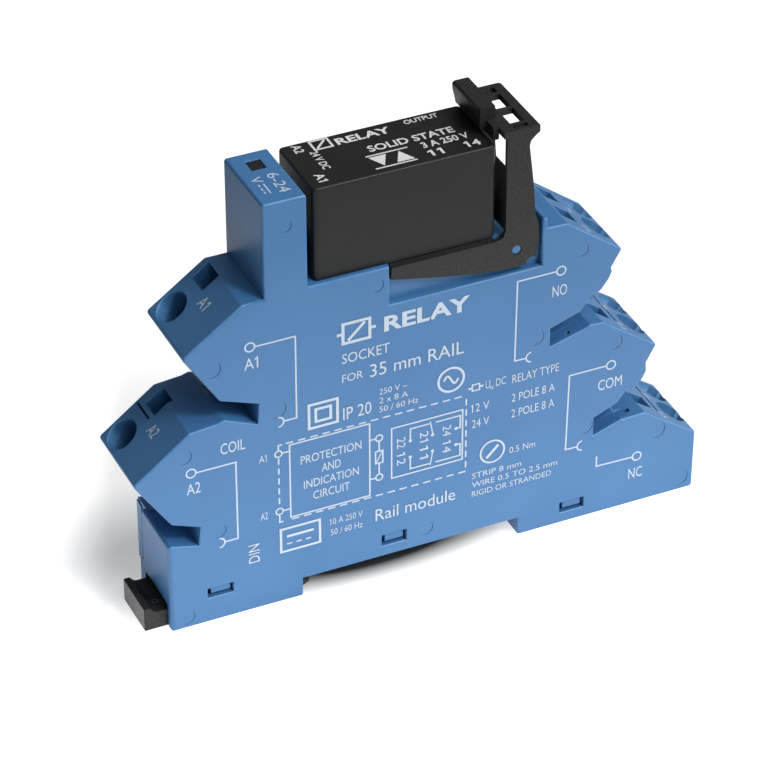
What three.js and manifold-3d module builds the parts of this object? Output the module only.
// Plug-in relay on a DIN-rail interface socket, 14 mm wide. Units are millimetres.
// X runs along the socket, Y across its thickness (the printed face is at -Y), Z is up.
// The origin is the middle of the seat that rests on the DIN rail.
import * as THREE from "three";
import { mergeVertices } from "three/examples/jsm/utils/BufferGeometryUtils.js";
import Module from "manifold-3d";

const wasm = await Module();
wasm.setup();

// ---------------------------------------------------------------- driving dimensions
const FRONT = -7.0; // printed face
const BACK = 7.0; // face of the cover
const WALL = 1.4; // usual wall of the housing
const COVER_IN = 6.0; // inner face of the cover
const FOOT_Z = -3.2; // bottom of the feet
const RAIL_HALF = 18.1; // half width of the rail recess
const BAY_Z = 52.65; // floor of the relay bay
const TOWER = { left: -23.5, right: -16.6, top: 68.3 };
const WINDOW = { left: -21.1, right: -18.8, front: 2.2, back: 4.9, bottom: 66 }; // tower top
const END = { left: -39.8, step: -39.1, stepY: 3.7 }; // end wall, set back behind stepY
const RECESS = { left: -3.7, right: 21.2, bottom: 45.95, front: -5.85, back: 5.75 };
const UNDERCUT = { left: -3.0, right: 19.6, half: 4.75, bottom: 40, top: 51.2 }; // below the bay
const PIVOT = { x: 17.0, z: 49.86, pin: 0.72, hole: 0.8, root: 0.5 };
const RELAY = { left: -15.3, right: 13.8, front: -6.2, back: 6.55, bottom: BAY_Z, top: 68.3, wall: 0.9 };
const RELAY_FLOOR = 1.2; // thickness of the relay's base plate
const CASE_GAP = 0.05; // the case ends this far above the bay floor
const RELAY_PINS = [
  { name: "relay_pin_a1", x: -12.6, y: -3.6, wide: 0.5, deep: 1.0 },
  { name: "relay_pin_a2", x: -12.6, y: 3.6, wide: 0.5, deep: 1.0 },
  { name: "relay_pin_11", x: 5.6, y: -3.4, wide: 0.5, deep: 1.2 },
  { name: "relay_pin_14", x: 10.6, y: -3.4, wide: 0.5, deep: 1.2 },
];
const PIN_SLOT = 0.25; // room around a relay pin in the bay floor
const CONTACT = { gap: 0.03, leaf: 0.4, below: 1.5, length: 6.5 }; // springs that grip a pin

// Lever: Y ranges of its two plates and of the thicker pads beside the recess walls.
const LEVER = {
  front: [-6.95, -6.3], frontPad: [-6.35, -5.95], back: [5.85, 6.45],
  head: { left: 14.65, right: 20.4, bottom: 69.45, top: 70.5, corner: 0.35 },
  step: { left: 13.85, front: -4.9, bottom: 68.4 },
  slot: { left: 16.55, right: 18.88, front: -6.2, back: 5.6 },
  ribs: [[-5.25, -4.7], [-0.8, -0.25], [3.6, 4.15]],
  web: { left: 15.1, right: 15.7, bottom: 53.6, top: 63.85 },
  tab: [-1.9, 6.45], flange: [-2.6, -1.9],
};
const BOARD = { front: -0.8, back: 0.2 };
const SLIDER = {
  front: -5.6, back: 3.0, left: -43.5, bottom: -2.8, top: 1.1, lip: 1.22, neck: 0.3, gap: 0.2,
};
const SPRING = { left: -28.0, length: 7.0, turns: 6, radius: 0.85, wire: 0.16, y: -1.3, z: -0.2 };

// Terminals: top and tip are the ends of the slanted face, hole is the distance of the screw
// from top along it, and sink is how much deeper than usual the screw sits. The test opening
// runs over slot along the face and over slotY beside the terminal's middle.
const BACK_Y = 3.7;
const FRONT_Y = -2.3;
const LEVELS = {
  no: { top: [25.35, 52.25], tip: [34.7, 45.3], hole: 8.9, slot: [0.7, 3.9], slotY: [-1.6, 1.6], sink: 0 },
  com: { top: [31.95, 32.75], tip: [41.35, 26.1], hole: 8.9, slot: [0.1, 3.3], slotY: [-1.6, 1.6], sink: 0 },
  nc: { top: [39.85, 13.7], tip: [49.0, 7.35], hole: 8.7, slot: [0.1, 3.3], slotY: [-1.6, 1.6], sink: 0 },
  a1: {
    top: [-27.0, 52.3], tip: [-36.5, 45.5], hole: 8.2, slot: [-0.1, 3.25], slotY: [-2.0, 1.8], sink: 2.2,
  },
  a2: {
    top: [-35.75, 32.3], tip: [-44.85, 25.4], hole: 8.2, slot: [-0.85, 2.65], slotY: [-2.0, 1.3], sink: 2.2,
  },
};
const TERMINALS = [
  { name: "24", level: "no", y: BACK_Y, tail: [17.4, 43.0] },
  { name: "14", level: "no", y: FRONT_Y, tail: [17.4, 43.0] },
  { name: "21", level: "com", y: BACK_Y, tail: [17.4, 25.0] },
  { name: "11", level: "com", y: FRONT_Y, tail: [17.4, 25.0] },
  { name: "22", level: "nc", y: BACK_Y, tail: [17.4, 5.5] },
  { name: "12", level: "nc", y: FRONT_Y, tail: [17.4, 5.5] },
  { name: "a1", level: "a1", y: BACK_Y, tail: [-21.9, 41.6] },
  { name: "a2", level: "a2", y: BACK_Y, tail: [-21.9, 21.4] },
];
const HOLE_R = 2.6; // screwdriver access hole
const SLOT_DEPTH = 3.2; // test opening
const SCREW = { headTop: -1.6, headBottom: -2.6, tip: -4.9, headR: 2.0, shankR: 1.2, slot: 0.6 };
const CAGE = { top: -4.0, bottom: -8.4, halfU: 2.0, halfW: 2.2, sheet: 0.5, hole: 1.5 };
const CELL_GAP = 0.3; // room around a cage
const STRIP = { n: -5.4, thick: 0.6, half: 1.5, start: 1.7, bend: -3.0, run: 2.2, gap: 0.05 };
const WIRE = { radius: 1.1, length: 9 }; // passage for the conductor
// Slits for marker tabs: level, distance along the face, and range across it in Y.
const LABEL_SLITS = [["com", 4.7, -3.9, 4.1], ["nc", 4.6, -4.2, 3.3], ["a2", 3.6, 1.97, 6.75]];
const LABEL_SLIT = { half: 0.2, depth: 0.9 };

// Outline of the housing in X and Z, from the top left of the tower and clockwise.
const OUTLINE = [
  [TOWER.left, TOWER.top], [TOWER.right, TOWER.top], [TOWER.right, BAY_Z],
  [RECESS.right, BAY_Z], [RECESS.right, 54.2], [22.05, 54.2], [22.05, 52.35],
  LEVELS.no.top, LEVELS.no.tip,
  [33.0, 42.4], [33.15, 41.6], [32.7, 40.5], [31.3, 38.65], [29.9, 38.3], [29.0, 37.1],
  [28.0, 35.8], [23.0, 34.05], [23.0, 30.8], [28.6, 32.4], [29.75, 32.9],
  LEVELS.com.top, LEVELS.com.tip,
  [39.7, 23.1], [39.8, 21.5], [39.1, 20.15], [38.0, 19.3], [36.4, 18.7], [34.9, 16.9],
  [30.95, 15.2], [30.95, 11.95], [35.6, 13.55],
  LEVELS.nc.top, LEVELS.nc.tip,
  [48.9, FOOT_Z], [RAIL_HALF, FOOT_Z], [RAIL_HALF, 0], [-RAIL_HALF, 0], [-RAIL_HALF, FOOT_Z],
  [END.left, FOOT_Z], [END.left, 12.85], [-34.85, 11.55], [-34.55, 14.85], [-39.0, 16.6],
  LEVELS.a2.tip, LEVELS.a2.top,
  [-31.3, 32.7], [-30.15, 33.05], [-24.9, 30.75], [-24.65, 34.3], [-30.8, 36.6],
  LEVELS.a1.tip, LEVELS.a1.top,
  [TOWER.left, 52.3],
];

// Central hollow of the housing, open towards the cover.
const HOLLOW = [
  [-22.2, 66.9], [-17.9, 66.9], [-17.9, 51.2], [-5.1, 51.2], [-5.1, 44.5], [21.6, 44.5],
  [21.6, 10.4], [29.5, 10.4], [29.5, -1.8], [19.6, -1.8], [19.6, WALL], [-16.7, WALL],
  [-16.7, 3.2], [-38.1, 3.2], [-38.1, 10.7], [-33.2, 9.4], [-23.2, 9.4], [-23.2, 50.9],
  [-22.2, 50.9],
];
// Cover plate: the hollow grown by a landing all round.
const COVER = [
  [-22.9, 67.6], [-17.2, 67.6], [-17.2, 51.9], [-4.6, 51.9], [-4.6, 45.2], [22.3, 45.2],
  [22.3, 11.1], [30.2, 11.1], [30.2, -2.4], [18.9, -2.4], [18.9, 0.7], [-17.4, 0.7],
  [-17.4, 1.55], [-39.3, 1.55], [-39.3, 12.2], [-35.2, 10.9], [-23.9, 10.9], [-23.9, 51.6],
  [-22.9, 51.6],
];
// Strip at the end of the cover that folds forward over the end wall.
const COVER_STRIP = { left: -39.3, right: -38.8, front: 5.2, bottom: 2.0, top: 12.0 };
// Windows in the printed face, with the snap tongues of the cover inside them.
const SNAPS = [[-33.7, 1.27, 4.2, 1.75], [-5.0, 1.95, 4.15, 2.0], [25.4, -1.25, 4.2, 1.9]];
const TONGUE = { left: 0.7, right: 0.4, low: 0.45, high: 0.3, sunk: 0.5 };

// Side of the release lever: arm under the relay, pivot, neck and head.
const LEVER_SIDE = [
  [-3.4, 50.2], [4.8, 48.45], [10.6, 47.4], [14.9, 46.95], [18.5, 46.9], [18.65, 47.6],
  [19.2, 48.0], [20.1, 47.95], [20.45, 49.2], [20.65, 51.4], [20.45, 53.9], [19.95, 55.3],
  [19.5, 61.1], [18.75, 67.4], [18.95, 68.2], [19.7, 68.95], [20.4, 69.45], [20.4, 69.6],
  [15.1, 69.6], [15.1, 53.6], [14.7, 52.6], [13.6, 52.2], [-3.3, 52.2],
];
const LEVER_PAD = [[-3.3, 50.3], [4.8, 48.6], [10.6, 47.55], [13.4, 47.3], [13.4, 52.5], [-3.3, 52.5]];
// Thumb tab on the head: its hooked face towards the relay, and the flange at its front.
const TAB_SIDE = [
  [15.2, 70.0], [14.6, 69.15], [13.85, 68.4], [13.12, 68.95], [13.0, 69.7], [12.75, 70.7],
  [12.6, 71.5], [12.55, 72.3], [12.9, 72.65], [15.2, 72.65],
];
const FLANGE_SIDE = [
  [15.2, 70.0], [14.6, 69.15], [13.85, 68.4], [12.8, 69.3], [12.75, 72.5], [12.9, 72.65], [15.2, 72.65],
];
// Side of the rail clip: tooth at the rail, arm, low neck through the end wall, grip with a lip.
const CLIP_SIDE = [
  [SLIDER.left, SLIDER.bottom], [-RAIL_HALF, SLIDER.bottom], [-16.5, -1.9], [-16.5, -1.3],
  [-RAIL_HALF, -1.3], [-RAIL_HALF, SLIDER.top], [-36.2, SLIDER.top], [-36.5, SLIDER.neck],
  [-41.3, SLIDER.neck], [-41.7, 0.4], [-42.1, 0.7], [-42.5, SLIDER.lip], [SLIDER.left, SLIDER.lip],
];
const CLIP_WINDOW = { left: -29.2, right: -20.8, front: -2.6, back: 0 };
const SPRING_POST = { left: -29.0, right: -28.2, front: -2.4, back: -0.2, bottom: -1.2 };
const RAIL_HOOK = { left: 16.5, front: -4.5, back: 5, bottom: -2.9, top: -1.3 };

// ---------------------------------------------------------------- solid helpers
function toSolid(geometry) {
  const g = geometry.clone();
  for (const key of Object.keys(g.attributes)) {
    if (key !== "position") g.deleteAttribute(key);
  }
  const merged = mergeVertices(g, 1e-4);
  return new wasm.Manifold(new wasm.Mesh({
    numProp: 3,
    vertProperties: new Float32Array(merged.attributes.position.array),
    triVerts: new Uint32Array(merged.index.array),
  }));
}

function toGeometry(solid) {
  const mesh = solid.getMesh();
  const indexed = new THREE.BufferGeometry();
  indexed.setAttribute("position", new THREE.BufferAttribute(new Float32Array(mesh.vertProperties), 3));
  indexed.setIndex(new THREE.BufferAttribute(new Uint32Array(mesh.triVerts), 1));
  const flat = indexed.toNonIndexed();
  flat.computeVertexNormals();
  return flat;
}

function union(solids) {
  return solids.reduce((sum, solid) => sum.add(solid));
}

// Box from its low and high corners.
function box(x0, x1, y0, y1, z0, z1) {
  const g = new THREE.BoxGeometry(x1 - x0, y1 - y0, z1 - z0);
  g.translate((x0 + x1) / 2, (y0 + y1) / 2, (z0 + z1) / 2);
  return toSolid(g);
}

// Prism from an outline in X and Z between two Y values.
function prism(points, y0, y1) {
  const shape = new THREE.Shape(points.map(([x, z]) => new THREE.Vector2(x, z)));
  const g = new THREE.ExtrudeGeometry(shape, { depth: y1 - y0, bevelEnabled: false, steps: 1 });
  g.rotateX(Math.PI / 2);
  g.translate(0, y1, 0);
  return toSolid(g);
}

// Prism from an outline in X and Y between two heights.
function uprightPrism(points, z0, z1) {
  const shape = new THREE.Shape(points.map(([x, y]) => new THREE.Vector2(x, y)));
  const g = new THREE.ExtrudeGeometry(shape, { depth: z1 - z0, bevelEnabled: false, steps: 1 });
  g.translate(0, 0, z0);
  return toSolid(g);
}

// Cylinder about the Y axis.
function pinY(x, z, radius, y0, y1, sides = 24) {
  const g = new THREE.CylinderGeometry(radius, radius, y1 - y0, sides);
  g.translate(x, (y0 + y1) / 2, z);
  return toSolid(g);
}

// Cylinder about the Z axis.
function pinZ(x, y, radius, z0, z1, sides = 24) {
  const g = new THREE.CylinderGeometry(radius, radius, z1 - z0, sides);
  g.rotateX(Math.PI / 2);
  g.translate(x, y, (z0 + z1) / 2);
  return toSolid(g);
}

// Outline of a sheet bent along a line of points, with mitred corners.
function bentSheet(points, thick) {
  const side = [];
  const other = [];
  for (let i = 0; i < points.length; i += 1) {
    const p = new THREE.Vector2(...points[i]);
    const before = new THREE.Vector2(...points[Math.max(i - 1, 0)]);
    const after = new THREE.Vector2(...points[Math.min(i + 1, points.length - 1)]);
    const dirs = [p.clone().sub(before), after.clone().sub(p)].filter((d) => d.length() > 0);
    const normals = dirs.map((d) => new THREE.Vector2(-d.y, d.x).normalize());
    const mid = normals.reduce((a, b) => a.clone().add(b)).normalize();
    const reach = thick / 2 / mid.dot(normals[0]);
    side.push([p.x + mid.x * reach, p.y + mid.y * reach]);
    other.unshift([p.x - mid.x * reach, p.y - mid.y * reach]);
  }
  return side.concat(other);
}

// Frame of a terminal: u runs down the slanted face, w along Y, n out of the face.
// Its origin is on the screw's axis, below the face by the given depth.
function frameOn(level, y, depth) {
  const { top, tip, hole } = level;
  const u = new THREE.Vector3(tip[0] - top[0], 0, tip[1] - top[1]).normalize();
  const n = new THREE.Vector3(-u.z, 0, u.x);
  if (n.z < 0) n.negate();
  const w = n.clone().cross(u);
  const origin = new THREE.Vector3(top[0], y, top[1]).addScaledVector(u, hole).addScaledVector(n, -depth);
  return new THREE.Matrix4().makeBasis(u, w, n).setPosition(origin);
}

function terminalFrame(terminal) {
  const level = LEVELS[terminal.level];
  return frameOn(level, terminal.y, level.sink);
}

function placed(geometry, frame) {
  return toSolid(geometry.applyMatrix4(frame));
}

function localBox(frame, u0, u1, w0, w1, n0, n1) {
  const g = new THREE.BoxGeometry(u1 - u0, w1 - w0, n1 - n0);
  g.translate((u0 + u1) / 2, (w0 + w1) / 2, (n0 + n1) / 2);
  return placed(g, frame);
}

function localPin(frame, radius, n0, n1, sides) {
  const g = new THREE.CylinderGeometry(radius, radius, n1 - n0, sides);
  g.rotateX(Math.PI / 2);
  g.translate(0, 0, (n0 + n1) / 2);
  return placed(g, frame);
}

// Line of a contact strip in X and Z: through the cage, then level to its tail.
function stripLine(terminal) {
  const frame = terminalFrame(terminal);
  const at = (u) => {
    const p = new THREE.Vector3(u, 0, STRIP.n).applyMatrix4(frame);
    return [p.x, p.z];
  };
  const [tailX, tailZ] = terminal.tail;
  const bend = at(STRIP.bend);
  const inward = Math.sign(tailX - bend[0]);
  return [at(STRIP.start), bend, [bend[0] + inward * STRIP.run, tailZ], [tailX, tailZ]];
}

// ---------------------------------------------------------------- housing
function terminalCuts(terminal) {
  const frame = terminalFrame(terminal);
  const { halfU, halfW, bottom } = CAGE;
  const level = LEVELS[terminal.level];
  const [u, w] = [halfU + CELL_GAP, halfW + CELL_GAP];
  const cell = localBox(frame, -u, u, -w, w, bottom - CELL_GAP, SCREW.headTop);
  const access = localPin(frame, HOLE_R, SCREW.headTop - 0.8, level.sink + 2, 32);
  const wire = new THREE.CylinderGeometry(WIRE.radius, WIRE.radius, WIRE.length, 20);
  wire.rotateZ(Math.PI / 2);
  wire.translate(halfU + WIRE.length / 2, 0, (bottom + STRIP.n) / 2);
  const side = STRIP.half + STRIP.gap;
  const passage = prism(bentSheet(stripLine(terminal), STRIP.thick + 2 * STRIP.gap),
    terminal.y - side, terminal.y + side);
  const inside = box(-60, 60, -60, COVER_IN, -20, 90);
  return union([cell, testOpening(terminal), placed(wire, frame), passage]).intersect(inside).add(access);
}

function testOpening({ level, y }) {
  const { slot, slotY } = LEVELS[level];
  return faceCut(LEVELS[level], slot, [y + slotY[0], y + slotY[1]], SLOT_DEPTH, 2);
}

// Box cut into a slanted face: ranges along it and across it in Y, and how deep it goes.
function faceCut(level, along, across, depth, above) {
  const onLeft = level.tip[0] < level.top[0];
  const [w0, w1] = onLeft ? [-across[1], -across[0]] : across;
  return localBox(frameOn(level, 0, 0), along[0] - level.hole, along[1] - level.hole, w0, w1, -depth, above);
}

function recessCuts() {
  const { left, right, bottom, front, back } = RECESS;
  const under = UNDERCUT;
  return union([
    box(left, right, FRONT - 1, front, bottom, BAY_Z + 5),
    box(left, right, back, BACK + 1, bottom, BAY_Z + 5),
    box(under.left, under.right, -under.half, under.half, under.bottom, under.top),
  ]);
}

function pinSlots() {
  return union(RELAY_PINS.map((pin) => {
    const halfX = pin.wide / 2 + PIN_SLOT;
    const halfY = pin.deep / 2 + PIN_SLOT;
    return box(pin.x - halfX, pin.x + halfX, pin.y - halfY, pin.y + halfY, UNDERCUT.top - 1.2, BAY_Z + 1);
  }));
}

function labelSlits() {
  const { half, depth } = LABEL_SLIT;
  return union(LABEL_SLITS.map(([name, at, y0, y1]) =>
    faceCut(LEVELS[name], [at - half, at + half], [y0, y1], depth, 1)));
}

function pivotPins() {
  const { x, z, pin, root } = PIVOT;
  return pinY(x, z, pin, LEVER.front[0], RECESS.front + root)
    .add(pinY(x, z, pin, RECESS.back - root, LEVER.back[1]));
}

// Room for the rail clip, the post its spring leans on, and the fixed hook for the rail.
function railParts(solid) {
  const s = SLIDER;
  const post = SPRING_POST;
  const hook = RAIL_HOOK;
  const channel = box(
    END.left - 1, 1 - RAIL_HALF, s.front - s.gap, s.back + s.gap, FOOT_Z - 1, s.top + s.gap,
  );
  return solid.subtract(channel)
    .add(box(post.left, post.right, post.front, post.back, post.bottom, s.top + 0.5))
    .add(box(hook.left, RAIL_HALF + 0.5, hook.front, hook.back, hook.bottom, hook.top));
}

function stripBox(gap) {
  const { left, right, front, bottom, top } = COVER_STRIP;
  return box(left - gap, right, front, BACK + gap, bottom, top);
}

function housingShell() {
  let solid = prism(OUTLINE, FRONT, BACK);
  solid = solid.subtract(prism(HOLLOW, FRONT + WALL, BACK + 1));
  solid = solid.subtract(prism(COVER, COVER_IN, BACK + 1));
  solid = solid.subtract(box(END.left - 1, END.step, END.stepY, BACK + 1, FOOT_Z - 1, 14));
  solid = solid.subtract(stripBox(1)).subtract(recessCuts()).subtract(pinSlots());
  for (const terminal of TERMINALS) solid = solid.subtract(terminalCuts(terminal));
  solid = solid.subtract(labelSlits());
  for (const [x, z, w, h] of SNAPS) solid = solid.subtract(box(x, x + w, FRONT - 1, COVER_IN, z, z + h));
  const { left, right, front, back, bottom } = WINDOW;
  solid = solid.subtract(box(left, right, front, back, bottom, TOWER.top + 1));
  return railParts(solid).add(pivotPins());
}

function backCover() {
  const { left, right, low, high, sunk } = TONGUE;
  let solid = prism(COVER, COVER_IN, BACK).add(stripBox(0));
  for (const [x, z, w, h] of SNAPS) {
    solid = solid.add(box(x + left, x + w - right, FRONT + sunk, COVER_IN + 0.5, z + low, z + h - high));
  }
  return solid;
}

// ---------------------------------------------------------------- terminals
function terminalScrew(terminal) {
  const frame = terminalFrame(terminal);
  const { headTop, headBottom, tip, headR, shankR } = SCREW;
  const body = union([
    localPin(frame, headR, headBottom, headTop, 24),
    localPin(frame, shankR, tip, headBottom + 0.2, 16),
  ]);
  const { slot } = SCREW;
  return body.subtract(
    localBox(frame, -headR - 1, headR + 1, -slot / 2, slot / 2, headTop - slot, headTop + 1),
  );
}

function clampCage(terminal) {
  const frame = terminalFrame(terminal);
  const { top, bottom, halfU, halfW, sheet, hole } = CAGE;
  const outer = localBox(frame, -halfU, halfU, -halfW, halfW, bottom, top);
  const innerW = halfW - sheet;
  const inner = localBox(frame, -halfU - 1, halfU + 1, -innerW, innerW, bottom + sheet, top - sheet);
  return outer.subtract(inner).subtract(localPin(frame, hole, top - 1, top + 1, 16));
}

function contactStrip(terminal) {
  return prism(bentSheet(stripLine(terminal), STRIP.thick), terminal.y - STRIP.half, terminal.y + STRIP.half);
}

// ---------------------------------------------------------------- relay
function relayCase() {
  const { left, right, front, back, bottom, top, wall } = RELAY;
  const r = 0.3;
  const outer = new THREE.Shape();
  outer.moveTo(left + r, front);
  outer.lineTo(right - r, front);
  outer.quadraticCurveTo(right, front, right, front + r);
  outer.lineTo(right, back - r);
  outer.quadraticCurveTo(right, back, right - r, back);
  outer.lineTo(left + r, back);
  outer.quadraticCurveTo(left, back, left, back - r);
  outer.lineTo(left, front + r);
  outer.quadraticCurveTo(left, front, left + r, front);
  const low = bottom + CASE_GAP;
  const g = new THREE.ExtrudeGeometry(outer, { depth: top - low, bevelEnabled: false, curveSegments: 4 });
  g.translate(0, 0, low);
  return toSolid(g).subtract(relayRoom(bottom - 1, top - wall));
}

// Space inside the walls of the relay case between two heights.
function relayRoom(low, high) {
  const { left, right, front, back, wall } = RELAY;
  return box(left + wall, right - wall, front + wall, back - wall, low, high);
}

function pinBox({ x, y, wide, deep }, low, high) {
  return box(x - wide / 2, x + wide / 2, y - deep / 2, y + deep / 2, low, high);
}

function relayBase() {
  const holes = RELAY_PINS.map((pin) => pinBox(pin, RELAY.bottom - 1, RELAY.bottom + 2));
  return relayRoom(RELAY.bottom, RELAY.bottom + RELAY_FLOOR).subtract(union(holes));
}

function relayPin(pin) {
  return pinBox(pin, RELAY.bottom - 3.4, RELAY.bottom + 3.2);
}

function socketContact({ x, y, wide, deep }) {
  const { gap, leaf, below, length } = CONTACT;
  const top = RELAY.bottom - below;
  const low = top - length;
  const inner = wide / 2 + gap;
  const outer = inner + leaf;
  const [y0, y1] = [y - deep / 2, y + deep / 2];
  return union([
    box(x - outer, x - inner, y0, y1, low, top),
    box(x + inner, x + outer, y0, y1, low, top),
    box(x - outer, x + outer, y0, y1, low - leaf, low),
  ]);
}

function relayInside() {
  const { left, right, back, bottom, wall } = RELAY;
  const floor = bottom + RELAY_FLOOR;
  const board = { front: back - 3.25, back: back - 2.45 };
  return {
    relay_board: box(left + 3.2, right - 2.05, board.front, board.back, floor, floor + 11.5),
    relay_power_switch: box(2.0, 12.0, -1.6, 1.4, floor + 3.5, floor + 12.0),
    relay_optocoupler: box(-10.5, -4.0, 0.2, board.front, floor + 3.0, floor + 7.6),
    relay_heat_plate: box(1.0, right - wall - 0.2, 1.4, 2.2, floor + 2.4, floor + 12.6),
  };
}

// ---------------------------------------------------------------- lever, slider, inner parts
function lever() {
  const { front, frontPad, back, head, tab, flange } = LEVER;
  const bore = pinY(PIVOT.x, PIVOT.z, PIVOT.hole, front[0] - 1, back[1] + 1);
  const plates = union([
    prism(LEVER_SIDE, ...front), prism(LEVER_PAD, ...frontPad), prism(LEVER_SIDE, ...back),
  ]).subtract(bore);
  const { web, step } = LEVER;
  const right = head.right;
  const side = back[1];
  const corner = uprightPrism(
    [[right - head.corner, side], [right, side - head.corner], [right + 1, side + 1]],
    head.bottom - 1, head.top + 1,
  );
  return union([
    plates,
    leverHead(),
    box(step.left, head.left + 0.1, step.front, side, step.bottom, head.top),
    box(web.left, web.right, front[1] - 0.1, back[0] + 0.1, web.bottom, web.top),
    prism(TAB_SIDE, ...tab),
    prism(FLANGE_SIDE, flange[0], flange[1] + 0.05),
  ]).subtract(corner);
}

// Top plate of the lever with its row of openings between the cross ribs.
function leverHead() {
  const { front, back, head, slot, ribs } = LEVER;
  const open = box(slot.left, slot.right, slot.front, slot.back, head.bottom - 1, head.top + 1);
  const bars = ribs.map(([y0, y1]) => box(slot.left - 0.1, slot.right + 0.1, y0, y1, head.bottom, head.top));
  return box(head.left, head.right, front[0], back[1], head.bottom, head.top).subtract(open).add(union(bars));
}

// Rail clip: a scooped grip at the left, an arm with a window for the spring, and a tooth.
function slider() {
  const { left, right, front, back } = CLIP_WINDOW;
  const arm = prism(CLIP_SIDE, SLIDER.front, SLIDER.back);
  return arm.subtract(box(left, right, front, back, -1.5, SLIDER.top + 1));
}

function sliderSpring() {
  const { left, length, turns, radius, wire, y, z } = SPRING;
  const points = Array.from({ length: 10 * turns + 1 }, (_, i) => {
    const part = i / (10 * turns);
    const turn = part * turns * Math.PI * 2;
    return new THREE.Vector3(left + part * length, y + radius * Math.cos(turn), z + radius * Math.sin(turn));
  });
  const [segments, sides] = [12 * turns, 6];
  const coil = new THREE.CatmullRomCurve3(points);
  return closedTube(new THREE.TubeGeometry(coil, segments, wire, sides, false), segments, sides);
}

// Close both ends of a tube with fans so that it is one solid.
function closedTube(tube, segments, sides) {
  const position = Array.from(tube.attributes.position.array);
  const index = Array.from(tube.index.array);
  const ring = sides + 1;
  for (const [start, flip] of [[0, false], [segments * ring, true]]) {
    const centre = new THREE.Vector3();
    for (let i = 0; i < sides; i += 1) centre.add(new THREE.Vector3().fromArray(position, (start + i) * 3));
    centre.divideScalar(sides);
    const c = position.length / 3;
    position.push(centre.x, centre.y, centre.z);
    for (let i = 0; i < sides; i += 1) {
      const [a, b] = [start + i, start + i + 1];
      index.push(...(flip ? [c, b, a] : [c, a, b]));
    }
  }
  const g = new THREE.BufferGeometry();
  g.setAttribute("position", new THREE.Float32BufferAttribute(position, 3));
  g.setIndex(index);
  return toSolid(g);
}

function boardParts() {
  const { front, back } = BOARD;
  const gap = 0.1; // room around the light window
  const window = box(
    WINDOW.left + gap, WINDOW.right - gap, WINDOW.front + gap, WINDOW.back - gap, 62.5, 68.15,
  );
  const board = [[-21.8, 58], [-18.3, 58], [-18.3, 43.0], [18.5, 43.0], [18.5, 4.0], [-21.8, 4.0]];
  return {
    module_board: prism(board, front, back),
    status_led: pinZ(-19.95, 3.4, 1.2, 60.0, 62.5, 20).add(box(-20.6, -19.3, back, 4.0, 56.5, 60.2)),
    light_window: window,
    protection_diode: pinY(-12.0, 30.0, 1.3, front - 3.6, front, 16),
    series_resistor: box(-16.0, -9.0, back, back + 1.6, 33.0, 36.0),
    bridge_rectifier: box(-4.0, 3.0, back, back + 2.6, 30.0, 36.0),
    varistor: pinY(9.0, 31.0, 3.2, back, back + 2.6, 24),
  };
}

// ---------------------------------------------------------------- assembly
const MATERIALS = {
  housing: { color: 0x4a86c5, roughness: 0.5, metalness: 0 },
  black: { color: 0x2a2b2d, roughness: 0.55, metalness: 0 },
  steel: { color: 0xb9bcc0, roughness: 0.35, metalness: 1 },
  brass: { color: 0xc8a24a, roughness: 0.35, metalness: 1 },
  board: { color: 0x2f6b45, roughness: 0.6, metalness: 0 },
  lens: { color: 0x1c2a22, roughness: 0.25, metalness: 0 },
  led: { color: 0x6fd06a, roughness: 0.3, metalness: 0 },
  component: { color: 0x1f1f22, roughness: 0.5, metalness: 0 },
  varistor: { color: 0x2b5fa8, roughness: 0.5, metalness: 0 },
};

function addMesh(group, name, solid, slot) {
  const material = new THREE.MeshStandardMaterial(MATERIALS[slot]);
  material.name = slot;
  const mesh = new THREE.Mesh(toGeometry(solid), material);
  mesh.name = name;
  group.add(mesh);
}

function assemble() {
  const group = new THREE.Group();
  group.name = "plug_in_relay";
  addMesh(group, "housing_shell", housingShell(), "housing");
  addMesh(group, "back_cover", backCover(), "housing");
  addMesh(group, "release_lever", lever(), "black");
  addMesh(group, "rail_slider", slider(), "black");
  addMesh(group, "slider_spring", sliderSpring(), "steel");
  for (const terminal of TERMINALS) {
    addMesh(group, `screw_${terminal.name}`, terminalScrew(terminal), "steel");
    addMesh(group, `cage_${terminal.name}`, clampCage(terminal), "steel");
    addMesh(group, `strip_${terminal.name}`, contactStrip(terminal), "brass");
  }
  addMesh(group, "relay_case", relayCase(), "black");
  addMesh(group, "relay_base", relayBase(), "black");
  for (const pin of RELAY_PINS) {
    addMesh(group, pin.name, relayPin(pin), "brass");
    addMesh(group, pin.name.replace("relay_pin", "socket_contact"), socketContact(pin), "brass");
  }
  const relaySlots = {
    relay_board: "board", relay_power_switch: "component", relay_optocoupler: "component",
    relay_heat_plate: "steel",
  };
  for (const [name, solid] of Object.entries(relayInside())) addMesh(group, name, solid, relaySlots[name]);
  const boardSlots = {
    module_board: "board", status_led: "led", light_window: "lens", protection_diode: "component",
    series_resistor: "component", bridge_rectifier: "component", varistor: "varistor",
  };
  for (const [name, solid] of Object.entries(boardParts())) addMesh(group, name, solid, boardSlots[name]);
  return group;
}

export default assemble();
